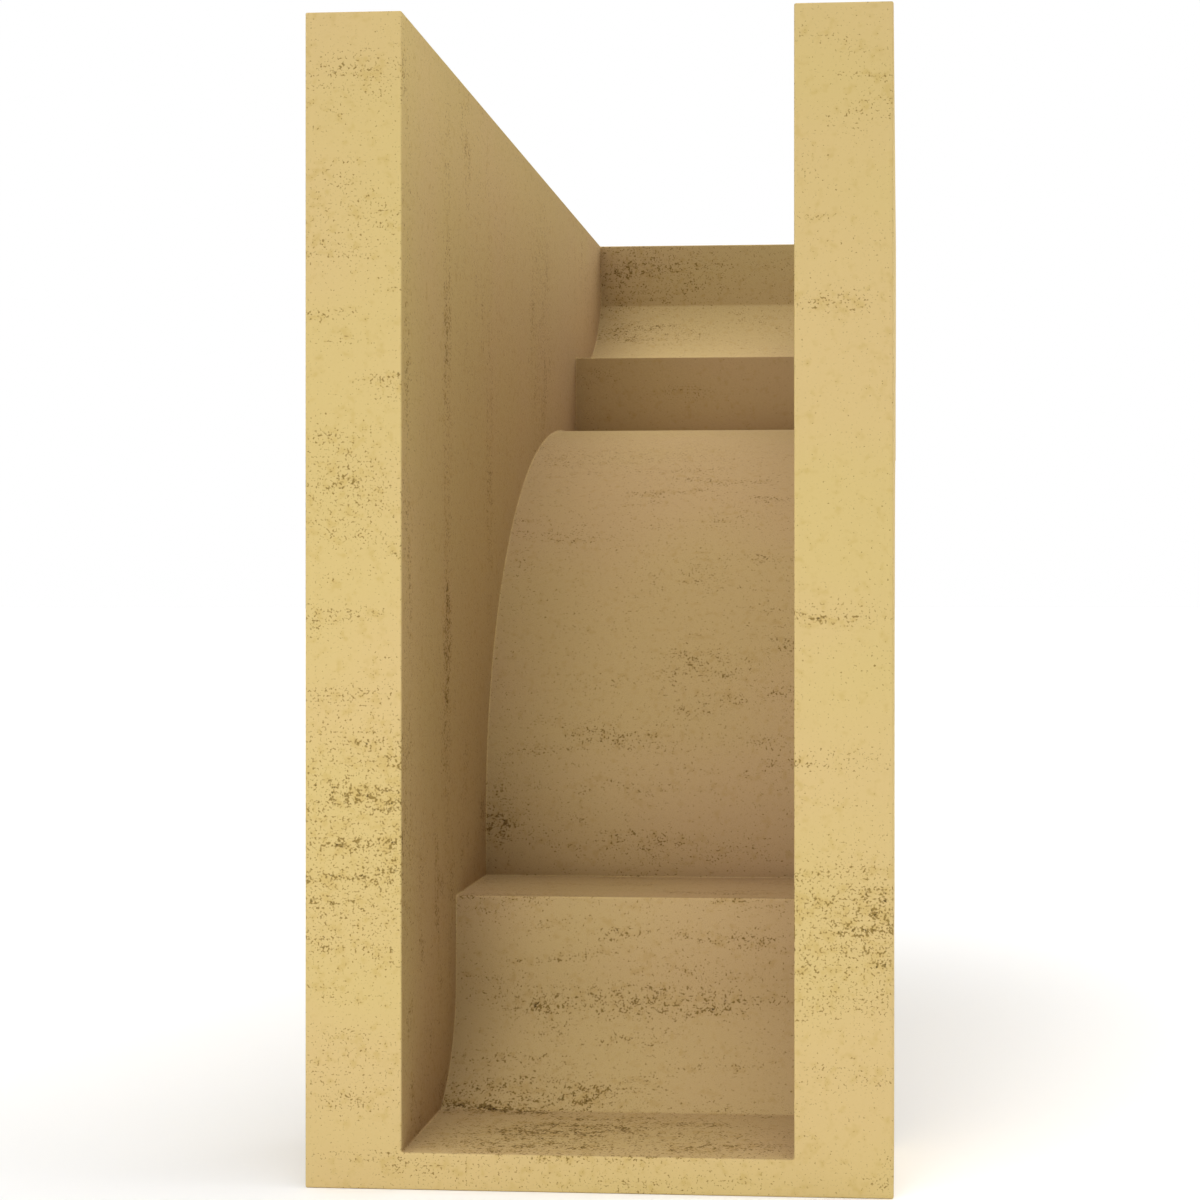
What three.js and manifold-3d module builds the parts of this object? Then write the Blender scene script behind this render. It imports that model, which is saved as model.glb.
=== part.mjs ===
// Hollow corbel, cast in one piece: two thick cheeks, a thin floor and a thin
// moulded front. Its back and top are open, so it slides over a block that is
// fixed to the wall. Millimetres, +Z up. The wall is the plane Y = 0, and the
// corbel reaches out from it along -Y. The origin is the middle of the floor's
// back edge.
import * as THREE from 'three';
import { mergeVertices } from 'three/addons/utils/BufferGeometryUtils.js';
import Module from 'manifold-3d';

const inch = 25.4;

// Overall size and walls
const width = 6 * inch;
const height = 12 * inch;
const projection = 12 * inch;
const cheekWall = 1 * inch;
const castWall = 0.375 * inch;

// Side outline of the front. From the wall out and from the underside up it has
// a foot, a step, a cove, a band, a crown and a fascia. Out means away from the
// wall, and up means from the underside.
const footRadius = 1.975 * inch;
const footCentreOut = 0.535 * inch;
const footCentreUp = 1.66 * inch;
const stepOut = 3.925 * inch;
const stepUp = 2.25 * inch;
const stepHeight = 1.17 * inch;
const bandSoffit = 1.07 * inch;
const bandHeight = 1.24 * inch;
const crownSoffit = 0.125 * inch;
const crownRadius = 2.26 * inch;
const crownTrim = 0.135 * inch; // how far the fascia stops short of a full quarter crown

const arcSteps = 20; // each arc is drawn with twice as many facets
const overcut = 5; // how far the hollow's cutter runs out of the back and the top
const weldDistance = 1e-4;

const hollowWidth = width - 2 * cheekWall;
const crownFootOut = projection - crownRadius + crownTrim;
const bandOut = crownFootOut - crownSoffit;
const coveCentreOut = bandOut - bandSoffit;
const coveRadius = coveCentreOut - stepOut;
const coveCentreUp = stepUp + stepHeight;
const bandUp = coveCentreUp + coveRadius;
const crownFootUp = bandUp + bandHeight;
const crownCentreUp = crownFootUp + crownRadius;

// The side outline with its front and its underside moved into the casting by
// inset. It starts at the distance startOut from the wall and ends at topUp.
function sideOutline(inset, startOut, topUp) {
  const footR = footRadius - inset;
  const footStart = Math.asin((inset - footCentreUp) / footR);
  const soleOut = footCentreOut + footR * Math.cos(footStart);
  const coveR = coveRadius + inset;
  const bandFace = bandOut - inset;
  const crownR = crownRadius - inset;
  const fasciaFace = projection - inset;
  const crownEnd = -Math.acos((fasciaFace - crownFootOut) / crownR);

  const outline = new THREE.Shape();
  outline.moveTo(startOut, inset);
  outline.lineTo(soleOut, inset);
  outline.absarc(footCentreOut, footCentreUp, footR, footStart, 0, false);
  outline.lineTo(footCentreOut + footR, stepUp + inset);
  outline.lineTo(stepOut - inset, stepUp + inset);
  outline.absarc(coveCentreOut, coveCentreUp, coveR, Math.PI, Math.PI / 2, true);
  outline.lineTo(bandFace, bandUp + inset);
  outline.lineTo(bandFace, crownFootUp + inset);
  outline.absarc(crownFootOut, crownCentreUp, crownR, -Math.PI / 2, crownEnd, false);
  outline.lineTo(fasciaFace, topUp);
  outline.lineTo(startOut, topUp);
  return outline;
}

// From the outline's out, up and sideways to the part's -Y, +Z and -X
const outlineToPart = new THREE.Matrix4()
  .makeBasis(
    new THREE.Vector3(0, -1, 0),
    new THREE.Vector3(0, 0, 1),
    new THREE.Vector3(-1, 0, 0),
  )
  .setPosition(0, 0, -castWall / 2);

const wasm = await Module();
wasm.setup();

// An outline made solid over the given width, in the middle of the part
function solidFrom(outline, across) {
  const extruded = new THREE.ExtrudeGeometry(outline, {
    depth: across,
    bevelEnabled: false,
    curveSegments: arcSteps,
  });
  extruded.translate(0, 0, -across / 2);
  extruded.applyMatrix4(outlineToPart);
  extruded.deleteAttribute('normal');
  extruded.deleteAttribute('uv');
  const welded = mergeVertices(extruded, weldDistance);
  const mesh = new wasm.Mesh({
    numProp: 3,
    vertProperties: new Float32Array(welded.attributes.position.array),
    triVerts: new Uint32Array(welded.index.array),
  });
  return new wasm.Manifold(mesh);
}

function geometryFrom(solid) {
  const mesh = solid.getMesh();
  const geometry = new THREE.BufferGeometry();
  geometry.setAttribute('position', new THREE.BufferAttribute(mesh.vertProperties, 3));
  geometry.setIndex(new THREE.BufferAttribute(mesh.triVerts, 1));
  return geometry;
}

const castFinish = new THREE.MeshStandardMaterial({
  name: 'cast_sand',
  color: new THREE.Color(0xd8be7c),
  roughness: 0.85,
  metalness: 0,
  flatShading: true,
});

const block = solidFrom(sideOutline(0, 0, height), width);
const hollow = solidFrom(sideOutline(castWall, -overcut, height + overcut), hollowWidth);

const corbel = new THREE.Mesh(geometryFrom(block.subtract(hollow)), castFinish);
corbel.name = 'corbel';

const part = new THREE.Group();
part.name = 'hollow_corbel';
part.add(corbel);

export default part;
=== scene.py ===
# Hollow corbel in sand-coloured casting, seen from behind into its open back.
# Metres, +Z up. The wall is the plane y = 0, and the corbel reaches out along -y.
import math

import bpy
import numpy as np
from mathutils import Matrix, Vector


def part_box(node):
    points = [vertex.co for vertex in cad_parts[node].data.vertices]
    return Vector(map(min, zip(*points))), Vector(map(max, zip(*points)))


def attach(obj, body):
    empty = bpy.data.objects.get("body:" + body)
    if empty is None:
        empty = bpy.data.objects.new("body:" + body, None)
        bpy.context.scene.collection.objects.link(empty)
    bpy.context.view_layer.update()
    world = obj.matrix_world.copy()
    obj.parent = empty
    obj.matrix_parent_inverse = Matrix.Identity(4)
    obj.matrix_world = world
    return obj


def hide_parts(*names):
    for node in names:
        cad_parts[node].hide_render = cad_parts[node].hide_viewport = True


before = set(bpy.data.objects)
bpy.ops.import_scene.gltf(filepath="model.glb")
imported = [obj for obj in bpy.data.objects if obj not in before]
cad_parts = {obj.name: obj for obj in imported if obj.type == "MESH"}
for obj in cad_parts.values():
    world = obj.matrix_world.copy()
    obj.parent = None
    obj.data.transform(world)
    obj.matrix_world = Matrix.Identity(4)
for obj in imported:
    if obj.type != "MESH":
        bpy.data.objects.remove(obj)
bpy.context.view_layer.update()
lowCorner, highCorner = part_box("corbel")
inch = 0.0254
print("frame loaded, corbel from", tuple(lowCorner), "to", tuple(highCorner))


# The casting
corbelSettings = {
    "cheekWall": 1 * inch,
    "castWall": 0.375 * inch,
    "footRadius": 1.975 * inch,
    "footCentreOut": 0.535 * inch,
    "footCentreUp": 1.66 * inch,
    "stepOut": 3.925 * inch,
    "stepUp": 2.25 * inch,
    "stepHeight": 1.17 * inch,
    "bandSoffit": 1.07 * inch,
    "bandHeight": 1.24 * inch,
    "crownSoffit": 0.125 * inch,
    "crownRadius": 2.26 * inch,
    "crownTrim": 0.135 * inch,  # how far the fascia stops short of a full quarter crown
    "footFacets": 48,
    "coveFacets": 72,
    "crownFacets": 40,
    "edgeRounding": 0.0005,
    "roundingSegments": 3,
    "roundingAngle": 10.0,  # degrees; every crease in the outline turns by more
    "flatFaceWeight": 100,  # flat faces keep their own shading up to the rounding
}


def arcPoints(centreOut, centreUp, radius, startAngle, endAngle, facets):
    # centre + radius * (cos a, sin a), with a going evenly from start to end
    angle = np.linspace(startAngle, endAngle, facets + 1)
    out = centreOut + radius * np.cos(angle)
    up = centreUp + radius * np.sin(angle)
    return np.stack([out, up], axis=1)


def sideOutline(settings, projection, height, inset):
    # The front's outline as (out from the wall, up from the underside), from the
    # back edge of the floor to the top of the fascia. Every face is moved by inset
    # into the casting: round faces that bulge out lose it from their radius, and
    # the hollow cove gains it.
    s = settings
    crownFootOut = projection - s["crownRadius"] + s["crownTrim"]
    bandOut = crownFootOut - s["crownSoffit"]
    coveCentreOut = bandOut - s["bandSoffit"]
    coveRadius = coveCentreOut - s["stepOut"]
    coveCentreUp = s["stepUp"] + s["stepHeight"]
    bandUp = coveCentreUp + coveRadius
    crownFootUp = bandUp + s["bandHeight"]
    crownCentreUp = crownFootUp + s["crownRadius"]

    footR = s["footRadius"] - inset
    footStart = math.asin((inset - s["footCentreUp"]) / footR)
    footFace = s["footCentreOut"] + footR
    coveR = coveRadius + inset
    crownR = s["crownRadius"] - inset
    fasciaFace = projection - inset
    crownEnd = -math.acos((fasciaFace - crownFootOut) / crownR)
    return np.concatenate([
        [(0.0, inset)],
        arcPoints(s["footCentreOut"], s["footCentreUp"], footR, footStart, 0.0, s["footFacets"]),
        [(footFace, s["stepUp"] + inset), (s["stepOut"] - inset, s["stepUp"] + inset)],
        arcPoints(coveCentreOut, coveCentreUp, coveR, math.pi, math.pi / 2, s["coveFacets"]),
        [(bandOut - inset, bandUp + inset), (bandOut - inset, crownFootUp + inset)],
        arcPoints(crownFootOut, crownCentreUp, crownR, -math.pi / 2, crownEnd, s["crownFacets"]),
        [(fasciaFace, height)],
    ])


def shellPoints(outline, halfWidth, height, baseUp):
    # The outline and the top of the back edge, at x = -half width and then again
    # at x = +half width
    closed = np.concatenate([outline, [(0.0, height)]])
    across = np.repeat([-halfWidth, halfWidth], len(closed))
    out, up = np.tile(closed, (2, 1)).T
    return np.column_stack([across, -out, baseUp + up])


def shellFaces(count, first, inward):
    # Strips between neighbouring outline points, and last the two flat cheek faces.
    # The inner shell has the order of its corners turned round, to face the hollow.
    k = np.arange(count - 2)
    left, right = first + k, first + count + k
    strips = np.stack([left, left + 1, right + 1, right], axis=1).tolist()
    leftCheek = list(range(first, first + count))
    rightCheek = list(range(first + count, first + 2 * count))
    faces = strips + [leftCheek[::-1], rightCheek]
    return [face[::-1] for face in faces] if inward else faces


def rimFaces(count):
    # Where the two shells meet: a flat U on the wall and a flat U on top. Each U
    # goes round its outer corners and back along its inner ones.
    outerLeft, outerRight, innerLeft, innerRight = (count * n for n in range(4))
    bottom, front, top = 0, count - 2, count - 1
    onWall = [outerLeft + bottom, outerRight + bottom, outerRight + top, innerRight + top,
              innerRight + bottom, innerLeft + bottom, innerLeft + top, outerLeft + top]
    onTop = [outerLeft + front, outerLeft + top, innerLeft + top, innerLeft + front,
             innerRight + front, innerRight + top, outerRight + top, outerRight + front]
    return [onWall, onTop]


def makeCorbel(settings):
    halfWidth = (highCorner.x - lowCorner.x) / 2
    height = highCorner.z - lowCorner.z
    projection = highCorner.y - lowCorner.y
    hollowHalf = halfWidth - settings["cheekWall"]
    outer = sideOutline(settings, projection, height, 0.0)
    inner = sideOutline(settings, projection, height, settings["castWall"])
    count = len(outer) + 1
    points = np.concatenate([
        shellPoints(outer, halfWidth, height, lowCorner.z),
        shellPoints(inner, hollowHalf, height, lowCorner.z),
    ])
    outerFaces = shellFaces(count, 0, False)
    innerFaces = shellFaces(count, 2 * count, True)
    faces = outerFaces + innerFaces + rimFaces(count)

    mesh = bpy.data.meshes.new("corbelCasting")
    mesh.from_pydata(points.tolist(), [], faces)
    mesh.update()

    # 1 on the cheeks' flat faces, where the grain stands upright, and 0 elsewhere
    turned = np.zeros(len(faces), np.float32)
    for shellEnd in (len(outerFaces), len(outerFaces) + len(innerFaces)):
        turned[shellEnd - 2:shellEnd] = 1
    grain = mesh.attributes.new("grainTurn", "FLOAT", "FACE")
    grain.data.foreach_set("value", turned)
    mesh.shade_smooth()

    piece = bpy.data.objects.new("corbelCasting", mesh)
    bpy.context.scene.collection.objects.link(piece)
    rounding = piece.modifiers.new("edgeRounding", "BEVEL")
    rounding.width = settings["edgeRounding"]
    rounding.segments = settings["roundingSegments"]
    rounding.limit_method = "ANGLE"
    rounding.angle_limit = math.radians(settings["roundingAngle"])
    rounding.miter_outer = "MITER_ARC"
    flatten = piece.modifiers.new("flatFaces", "WEIGHTED_NORMAL")
    flatten.weight = settings["flatFaceWeight"]
    return piece


# The sand-coloured finish. Colours are linear, and scales are per metre.
finishSettings = {
    "beige": (0.590, 0.434, 0.188),
    "yellow": (0.580, 0.440, 0.174),
    "paintedShadeTint": (0.600, 0.520, 0.700),  # painted shade: multiplies the colour where only casting is in sight
    "paintedShadeReach": 0.12,
    "paintedShadeRays": 1,  # rays for each sample of the painted shade
    "specular": 0.25,
    "bumpStrength": 0.5,
    "bumpHeight": 0.00012,
    # Noise patterns. A stretch below 1 draws one out along the grain. Each is read
    # through a smooth step, given as low, high, result at low, result at high.
    "mottle": {
        "scale": 13.0, "detail": 2.0, "rough": 0.55, "stretch": 0.6, "shift": 0.0,
        "read": (0.38, 0.62, 0.0, 1.0),
    },
    "bands": {
        "scale": 150.0, "detail": 2.0, "rough": 0.6, "stretch": 0.22, "shift": 0.0,
        "read": (0.44, 0.68, 0.0, 1.0),
    },
    "patches": {
        "scale": 11.0, "detail": 2.0, "rough": 0.5, "stretch": 0.5, "shift": 3.7,
        "read": (0.42, 0.66, 0.0, 0.62),
    },
    "clumps": {
        "scale": 480.0, "detail": 2.0, "rough": 0.6, "stretch": 0.95, "shift": 9.1,
        "read": (0.38, 0.66, 0.35, 1.2),
    },
    "grit": {  # its step gives the roughness
        "scale": 900.0, "detail": 1.0, "rough": 0.6, "stretch": 1.0, "shift": 0.0,
        "read": (0.3, 0.7, 0.74, 0.92),
    },
    # Layers of specks, each with its colour as well, and with how far a full
    # gathering lifts its noise before the step
    "stain": {
        "scale": 420.0, "detail": 1.0, "rough": 0.5, "stretch": 0.95, "shift": 0.42,
        "lift": 0.16, "read": (0.54, 0.84, 0.0, 0.40), "colour": (0.470, 0.320, 0.085),
    },
    "olive": {
        "scale": 1600.0, "detail": 1.0, "rough": 0.5, "stretch": 0.95, "shift": 1.6,
        "lift": 0.26, "read": (0.63, 0.82, 0.0, 0.85), "colour": (0.200, 0.122, 0.020),
    },
    "brown": {
        "scale": 1500.0, "detail": 1.0, "rough": 0.5, "stretch": 0.95, "shift": 1.5,
        "lift": 0.22, "read": (0.78, 0.96, 0.0, 0.9), "colour": (0.055, 0.026, 0.004),
    },
    "bandsInGathering": (0.0, 1.0, 0.45, 1.0),  # how a gathering reads the bands
    "gatheringCore": 0.3,  # share of a gathering's half size that has its full strength
    # Where the specks lie thickest: centre, half size, share
    "gatherings": {
        "rimLeftTop": ((0.060, 0.0, 0.284), (0.024, 0.012, 0.012), 0.7),
        "rimLeftHigh": ((0.064, 0.0, 0.247), (0.024, 0.012, 0.020), 0.6),
        "rimLeftMiddle": ((0.066, 0.0, 0.176), (0.026, 0.012, 0.022), 0.9),
        "rimLeftLow": ((0.064, 0.0, 0.087), (0.036, 0.012, 0.056), 1.0),
        "rimLeftFoot": ((0.064, 0.0, 0.026), (0.024, 0.012, 0.020), 0.6),
        "rimRightHigh": ((-0.062, 0.0, 0.224), (0.018, 0.012, 0.007), 0.5),
        "rimRightMiddle": ((-0.062, 0.0, 0.144), (0.022, 0.012, 0.005), 0.8),
        "rimRightLine": ((-0.062, 0.0, 0.107), (0.026, 0.012, 0.005), 0.8),
        "rimRightLow": ((-0.064, 0.0, 0.062), (0.034, 0.012, 0.034), 1.0),
        "rimRightFoot": ((-0.066, 0.0, 0.026), (0.020, 0.012, 0.007), 0.6),
        "rimFloor": ((0.000, 0.0, -0.001), (0.090, 0.012, 0.006), 0.5),
        "coveTop": ((0.020, -0.160, 0.197), (0.070, 0.020, 0.008), 0.5),
        "coveBlotch": ((-0.016, -0.113, 0.157), (0.014, 0.012, 0.012), 0.6),
        "coveLineHigh": ((-0.034, -0.099, 0.129), (0.026, 0.012, 0.004), 0.45),
        "coveLineLow": ((0.004, -0.091, 0.102), (0.034, 0.012, 0.004), 0.45),
        "coveSpot": ((-0.015, -0.092, 0.106), (0.008, 0.012, 0.004), 0.5),
        "coveCorner": ((0.048, -0.090, 0.080), (0.014, 0.014, 0.014), 0.8),
        "coveFoot": ((-0.014, -0.090, 0.070), (0.046, 0.014, 0.006), 0.7),
        "footUpper": ((-0.026, -0.054, 0.041), (0.026, 0.012, 0.006), 0.5),
        "footLine": ((0.000, -0.054, 0.032), (0.062, 0.012, 0.007), 1.2),
        "footLow": ((0.030, -0.041, 0.008), (0.044, 0.014, 0.010), 1.3),
        "floor": ((0.000, -0.014, 0.005), (0.070, 0.040, 0.006), 1.0),
        "bandLeft": ((0.042, -0.238, 0.236), (0.014, 0.012, 0.006), 0.7),
        "bandMiddle": ((0.006, -0.238, 0.229), (0.022, 0.012, 0.005), 0.6),
        "crown": ((0.030, -0.286, 0.262), (0.040, 0.014, 0.010), 0.8),
        "fascia": ((0.030, -0.295, 0.287), (0.048, 0.012, 0.024), 0.75),
        "cheekEdge": ((0.051, -0.006, 0.160), (0.006, 0.005, 0.200), 0.6),
        "cheekLine": ((0.051, -0.045, 0.170), (0.006, 0.007, 0.180), 0.9),
        "cheekMiddle": ((0.051, -0.095, 0.200), (0.006, 0.006, 0.100), 0.6),
        "cheekWide": ((0.051, -0.172, 0.240), (0.006, 0.026, 0.080), 0.7),
    },
}


def addNode(tree, kind, place, **values):
    # place is only where the node stands in the editor
    node = tree.nodes.new(kind)
    node.location = place
    for name, value in values.items():
        setattr(node, name, value)
    return node


def scaledVector(tree, vector, name, place, scale, shift):
    # vector * scale + shift, axis by axis
    node = addNode(tree, "ShaderNodeVectorMath", place, operation="MULTIPLY_ADD", label=name)
    node.inputs[1].default_value = scale
    node.inputs[2].default_value = shift
    tree.links.new(vector, node.inputs[0])
    return node.outputs["Vector"]


def mathNode(tree, operation, place, *values):
    node = addNode(tree, "ShaderNodeMath", place, operation=operation)
    for socket, value in zip(node.inputs, values):
        if isinstance(value, (int, float)):
            socket.default_value = value
        else:
            tree.links.new(value, socket)
    return node.outputs["Value"]


def smoothStep(tree, value, place, low, high, toLow, toHigh):
    # A smooth step from toLow to toHigh while value goes from low to high
    step = addNode(tree, "ShaderNodeMapRange", place, interpolation_type="SMOOTHSTEP")
    step.inputs["From Min"].default_value = low
    step.inputs["From Max"].default_value = high
    step.inputs["To Min"].default_value = toLow
    step.inputs["To Max"].default_value = toHigh
    tree.links.new(value, step.inputs["Value"])
    return step.outputs["Result"]


def noisePattern(tree, vector, name, place, pattern):
    # Fractal noise on the grain's own axes, the first of which runs along the grain
    left, up = place
    scale = (pattern["stretch"], 1.0, 1.0)
    shift = (pattern["shift"],) * 3
    drawn = scaledVector(tree, vector, name + " stretch", (left - 180, up), scale, shift)
    noise = addNode(tree, "ShaderNodeTexNoise", place, label=name)
    noise.inputs["Scale"].default_value = pattern["scale"]
    noise.inputs["Detail"].default_value = pattern["detail"]
    noise.inputs["Roughness"].default_value = pattern["rough"]
    tree.links.new(drawn, noise.inputs["Vector"])
    return noise.outputs["Fac"]


def readPattern(tree, vector, name, place, pattern):
    left, up = place
    noise = noisePattern(tree, vector, name, place, pattern)
    return smoothStep(tree, noise, (left + 250, up), *pattern["read"])


def speckLayer(tree, vector, name, place, pattern, gathered):
    # smooth step of (noise + lift * gathered)
    left, up = place
    noise = noisePattern(tree, vector, name, place, pattern)
    total = mathNode(tree, "MULTIPLY_ADD", (left + 220, up), gathered, pattern["lift"], noise)
    return smoothStep(tree, total, (left + 440, up), *pattern["read"])


def roundPatch(tree, vector, name, place, gathering, core):
    # share inside an ellipsoid of that centre and half size, easing to nothing at its
    # edge: with d = length of (vector - centre) / half size, a smooth step down
    # while d goes from core to 1
    left, up = place
    centre, half, share = gathering
    scale = [1 / size for size in half]
    shift = [-c * k for c, k in zip(centre, scale)]
    length = addNode(tree, "ShaderNodeVectorMath", (left + 200, up), operation="LENGTH")
    tree.links.new(scaledVector(tree, vector, name, place, scale, shift), length.inputs[0])
    return smoothStep(tree, length.outputs["Value"], (left + 400, up), core, 1.0, share, 0.0)


def mixColour(tree, place, amount, first, second, blend="MIX"):
    mix = addNode(tree, "ShaderNodeMix", place, data_type="RGBA", blend_type=blend)
    tree.links.new(amount, mix.inputs["Factor"])
    for socket, value in ((mix.inputs[6], first), (mix.inputs[7], second)):
        if isinstance(value, tuple):
            socket.default_value = (*value, 1.0)
        else:
            tree.links.new(value, socket)
    return mix.outputs[2]


def grainAxes(tree, coords):
    # Axes for the noise, the first along the grain: x, or z on the cheeks' flat
    # faces, where the grain stands upright
    split = addNode(tree, "ShaderNodeSeparateXYZ", (-1320, 0))
    tree.links.new(coords, split.inputs["Vector"])
    upright = addNode(tree, "ShaderNodeCombineXYZ", (-1140, -120))
    for target, source in (("X", "Z"), ("Y", "Y"), ("Z", "X")):
        tree.links.new(split.outputs[source], upright.inputs[target])
    turn = addNode(tree, "ShaderNodeAttribute", (-1140, 160), attribute_name="grainTurn")
    grain = addNode(tree, "ShaderNodeMix", (-940, 0), data_type="VECTOR")
    tree.links.new(turn.outputs["Fac"], grain.inputs["Factor"])
    tree.links.new(coords, grain.inputs[4])
    tree.links.new(upright.outputs["Vector"], grain.inputs[5])
    return grain.outputs[1]


def speckGathering(tree, coords, along, settings):
    # The specks gather in bands along the grain, and the bands in patches. Where the
    # settings place a gathering, the stronger of the two counts. All of it is
    # thinned between the bands.
    s = settings
    bands = readPattern(tree, along, "bands", (-500, 600), s["bands"])
    patches = readPattern(tree, along, "patches", (-500, 360), s["patches"])
    gathered = mathNode(tree, "MULTIPLY", (0, 500), bands, patches)
    for row, (name, gathering) in enumerate(s["gatherings"].items()):
        up = 1200 + 220 * row
        near = roundPatch(tree, coords, name, (-900, up), gathering, s["gatheringCore"])
        gathered = mathNode(tree, "MAXIMUM", (100 + 40 * row, up), gathered, near)
    streaky = smoothStep(tree, bands, (0, 640), *s["bandsInGathering"])
    return mathNode(tree, "MULTIPLY", (250, 500), gathered, streaky)


def castFinish(settings):
    s = settings
    material = bpy.data.materials.new("castSand")
    material.use_nodes = True
    tree = material.node_tree
    tree.nodes.clear()
    output = addNode(tree, "ShaderNodeOutputMaterial", (1700, 0))
    shader = addNode(tree, "ShaderNodeBsdfPrincipled", (1400, 0))
    shader.inputs["Specular IOR Level"].default_value = s["specular"]
    tree.links.new(shader.outputs["BSDF"], output.inputs["Surface"])
    coords = addNode(tree, "ShaderNodeTexCoord", (-1500, 0)).outputs["Object"]
    along = grainAxes(tree, coords)

    # Soft mottling between a pinkish beige and a yellower sand
    mottle = readPattern(tree, along, "mottle", (-500, 900), s["mottle"])
    colour = mixColour(tree, (0, 900), mottle, s["beige"], s["yellow"])

    # Three layers, each a noise whose peaks pass more easily where the specks gather.
    # The two darker ones also stand in clumps.
    loose = speckGathering(tree, coords, along, s)
    clumps = readPattern(tree, along, "clumps", (-500, 240), s["clumps"])
    clumped = mathNode(tree, "MULTIPLY", (380, 400), loose, clumps)
    layers = (("stain", loose), ("olive", clumped), ("brown", clumped))
    for row, (name, gathered) in enumerate(layers):
        layer = speckLayer(tree, along, name, (-500, 120 - 240 * row), s[name], gathered)
        colour = mixColour(tree, (300 + 200 * row, 700 - 100 * row), layer, colour, s[name]["colour"])

    # Painted shade: the colour is made darker and browner where the form closes in
    # on itself, colour * (1 - (1 - tint) * share of rays that meet the casting within
    # reach). It is in plain proportion, so a few rays give the same tone as many.
    shadeOcclusion = addNode(tree, "ShaderNodeAmbientOcclusion", (700, 900), only_local=True)
    shadeOcclusion.samples = s["paintedShadeRays"]
    shadeOcclusion.inputs["Distance"].default_value = s["paintedShadeReach"]
    # share of rays that meet the casting: how much shade is painted into the colour here
    closed = mathNode(tree, "SUBTRACT", (900, 900), 1.0, shadeOcclusion.outputs["AO"])
    colour = mixColour(tree, (1100, 600), closed, colour, s["paintedShadeTint"], "MULTIPLY")
    tree.links.new(colour, shader.inputs["Base Color"])

    # A fine sandy relief, with its crests rougher
    grit = noisePattern(tree, along, "grit", (-500, -660), s["grit"])
    rough = smoothStep(tree, grit, (0, -660), *s["grit"]["read"])
    tree.links.new(rough, shader.inputs["Roughness"])
    bump = addNode(tree, "ShaderNodeBump", (900, -400))
    bump.inputs["Strength"].default_value = s["bumpStrength"]
    bump.inputs["Distance"].default_value = s["bumpHeight"]
    tree.links.new(grit, bump.inputs["Height"])
    tree.links.new(bump.outputs["Normal"], shader.inputs["Normal"])
    return material


casting = makeCorbel(corbelSettings)
casting.data.materials.append(castFinish(finishSettings))
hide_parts("corbel")
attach(casting, "root")
print("casting made,", len(casting.data.polygons), "faces")


# The stage: floor, lights and camera
stageSettings = {
    "floorHalf": 30.0,
    "floorColour": (0.92, 0.92, 0.92),
    "floorRoughness": 0.9,
    "backdropColour": (1.0, 1.0, 1.0),
    "cameraPlace": (-0.07759, 0.43529, 0.14764),
    "cameraTurn": 3.21,  # degrees to the side of straight at the wall face
    "cameraSensor": 36.0,  # millimetres, like the lens
    "cameraLens": 51.29,
    "cameraShift": -0.1694,
    "cameraNearest": 0.01,
    "lights": [
        # name, degrees from +y towards +x, degrees up, width in degrees, strength
        ("lightBehind", 30, 8, 50, 0.72),
        ("lightLeft", 85, 58, 50, 0.40),
        ("lightRight", -115, 32, 60, 1.93),
        ("lightTop", 0, 80, 70, 2.70),
    ],
    "nearLightPlace": (0.12, 0.42, 0.03),
    "nearLightTarget": (0.0, 0.0, 0.02),
    "nearLightSize": 0.20,
    "nearLightPower": 0.77,
}


def makeFloor(settings):
    half, level = settings["floorHalf"], lowCorner.z
    corners = [(x * half, y * half, level) for x, y in ((-1, -1), (1, -1), (1, 1), (-1, 1))]
    mesh = bpy.data.meshes.new("floor")
    mesh.from_pydata(corners, [], [(0, 1, 2, 3)])
    floor = bpy.data.objects.new("floor", mesh)
    bpy.context.scene.collection.objects.link(floor)
    material = bpy.data.materials.new("paleFloor")
    material.use_nodes = True
    shader = material.node_tree.nodes["Principled BSDF"]
    shader.inputs["Base Color"].default_value = (*settings["floorColour"], 1.0)
    shader.inputs["Roughness"].default_value = settings["floorRoughness"]
    mesh.materials.append(material)


def addLight(light, turn):
    holder = bpy.data.objects.new(light.name, light)
    holder.rotation_euler = turn
    bpy.context.scene.collection.objects.link(holder)
    return holder


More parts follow.
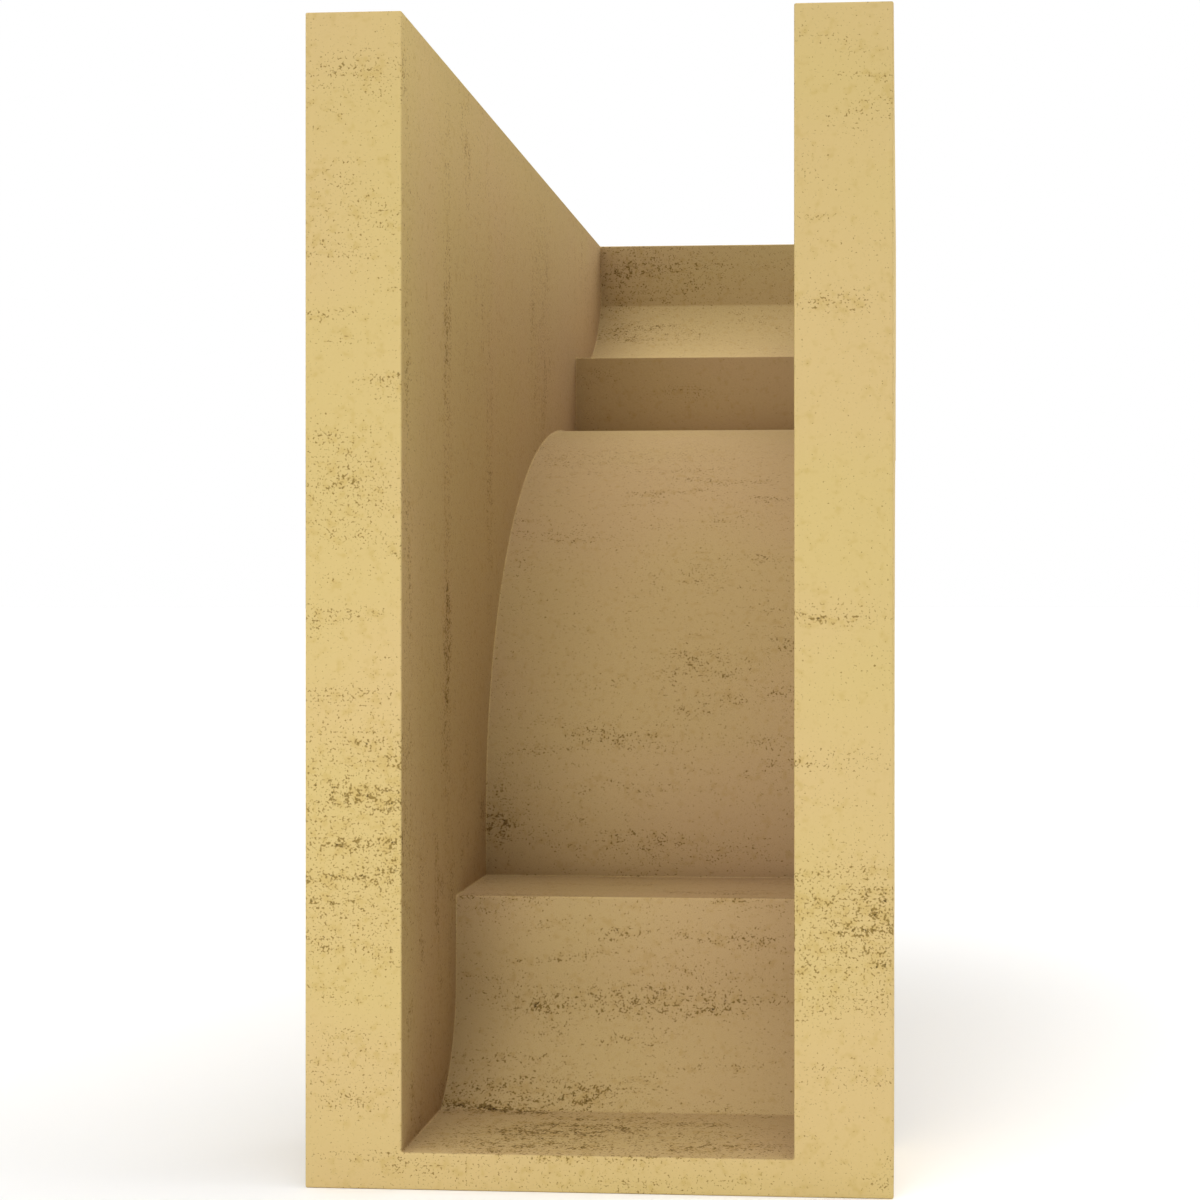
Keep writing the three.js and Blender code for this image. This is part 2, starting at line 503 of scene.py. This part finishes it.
def makeLights(settings):
    # Distant soft lights, so the floor is evenly bright out to its edge
    for name, azimuth, elevation, width, strength in settings["lights"]:
        light = bpy.data.lights.new(name, "SUN")
        light.angle = math.radians(width)
        light.energy = strength
        addLight(light, (math.radians(90 - elevation), 0.0, math.radians(180 - azimuth)))

    # One softbox close by and low, which lifts the foot of the wall face. It is
    # turned so that its -z points at the target.
    light = bpy.data.lights.new("lightNear", "AREA")
    light.size = settings["nearLightSize"]
    light.energy = settings["nearLightPower"]
    aim = np.array(settings["nearLightTarget"]) - np.array(settings["nearLightPlace"])
    tilt = math.atan2(math.hypot(aim[0], aim[1]), -aim[2])
    heading = math.atan2(-aim[0], aim[1])
    holder = addLight(light, (tilt, 0.0, heading))
    holder.location = settings["nearLightPlace"]
    holder.visible_camera = False


def makeBackdrop(settings):
    # It looks white and gives no light of its own: everything is lit by the lights
    world = bpy.data.worlds.new("paleBackdrop")
    world.use_nodes = True
    tree = world.node_tree
    tree.nodes.clear()
    output = addNode(tree, "ShaderNodeOutputWorld", (600, 0))
    mix = addNode(tree, "ShaderNodeMixShader", (400, 0))
    path = addNode(tree, "ShaderNodeLightPath", (0, 200))
    backdrop = addNode(tree, "ShaderNodeBackground", (0, -300))
    backdrop.inputs["Color"].default_value = (*settings["backdropColour"], 1.0)
    tree.links.new(path.outputs["Is Camera Ray"], mix.inputs[0])
    tree.links.new(backdrop.outputs[0], mix.inputs[2])
    tree.links.new(mix.outputs[0], output.inputs["Surface"])
    bpy.context.scene.world = world


def makeCamera(settings):
    camera = bpy.data.cameras.new("camera")
    camera.sensor_width = settings["cameraSensor"]
    camera.lens = settings["cameraLens"]
    camera.shift_x = settings["cameraShift"]
    camera.clip_start = settings["cameraNearest"]
    holder = bpy.data.objects.new("camera", camera)
    holder.location = settings["cameraPlace"]
    holder.rotation_euler = (math.radians(90), 0.0, math.radians(180 + settings["cameraTurn"]))
    bpy.context.scene.collection.objects.link(holder)
    bpy.context.scene.camera = holder


makeFloor(stageSettings)
makeLights(stageSettings)
makeBackdrop(stageSettings)
makeCamera(stageSettings)
bpy.context.scene.view_settings.view_transform = "Standard"
print("stage set")
